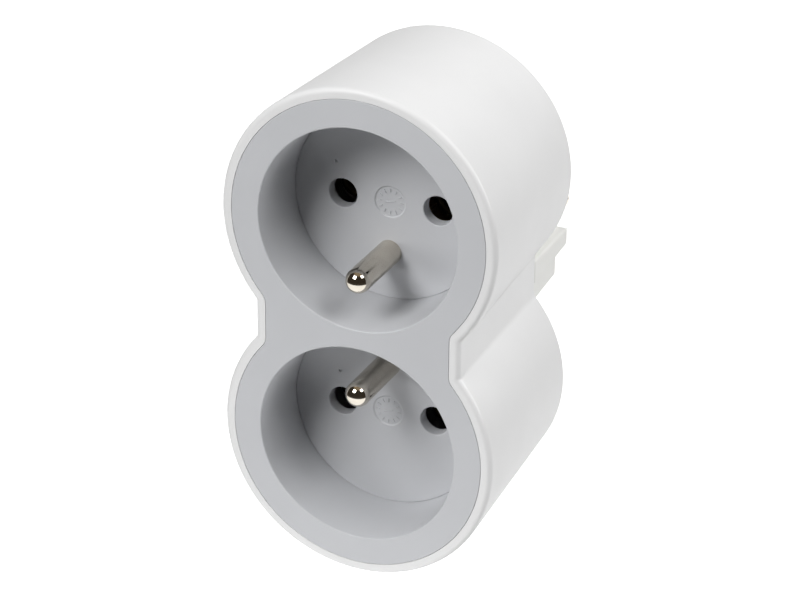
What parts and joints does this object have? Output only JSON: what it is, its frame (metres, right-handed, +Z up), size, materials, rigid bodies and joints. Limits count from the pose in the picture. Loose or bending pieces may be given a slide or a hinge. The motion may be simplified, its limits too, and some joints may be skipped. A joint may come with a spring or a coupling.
{
  "type": "multi socket adapter",
  "caption": "Plug-in adapter with a figure-eight body: round recessed earthed sockets stacked on the front, and a stepped plug with pins behind.",
  "frame": {"origin": "middle of the plug's end face, midway between its two pins", "axes": "+X right as seen from the front, +Y into the wall along the plug pins, +Z up along the stacked sockets"},
  "size_m": [0.054, 0.0786, 0.097],
  "materials": {
    "white_shell": "satin moulded",
    "grey_front": "fine matt moulded",
    "warm_white_base": "satin moulded",
    "nickel_pin": "bright nickel plate",
    "brass_strip": "rolled",
    "brass_contact": "turned",
    "spring_wire": "drawn wire",
    "zinc_screw": "zinc plated"
  },
  "bodies": {
    "root": {"outer_shell": "white_shell", "socket_insert": "grey_front", "plug_base": "warm_white_base", "earth_bar": "brass_strip", "left_contact_bar": "brass_strip", "right_contact_bar": "brass_strip", "earth_receptacle": "brass_contact", "left_plug_pin": "nickel_pin", "right_plug_pin": "nickel_pin", "upper_earth_pin": "nickel_pin", "lower_earth_pin": "nickel_pin", "upper_screw": "zinc_screw", "lower_screw": "zinc_screw", "earth_receptacle_ring": "spring_wire", "upper_left_sleeve": "brass_contact", "upper_left_ring": "spring_wire", "upper_right_sleeve": "brass_contact", "upper_right_ring": "spring_wire", "lower_left_sleeve": "brass_contact", "lower_left_ring": "spring_wire", "lower_right_sleeve": "brass_contact", "lower_right_ring": "spring_wire"}
  },
  "joints": []
}
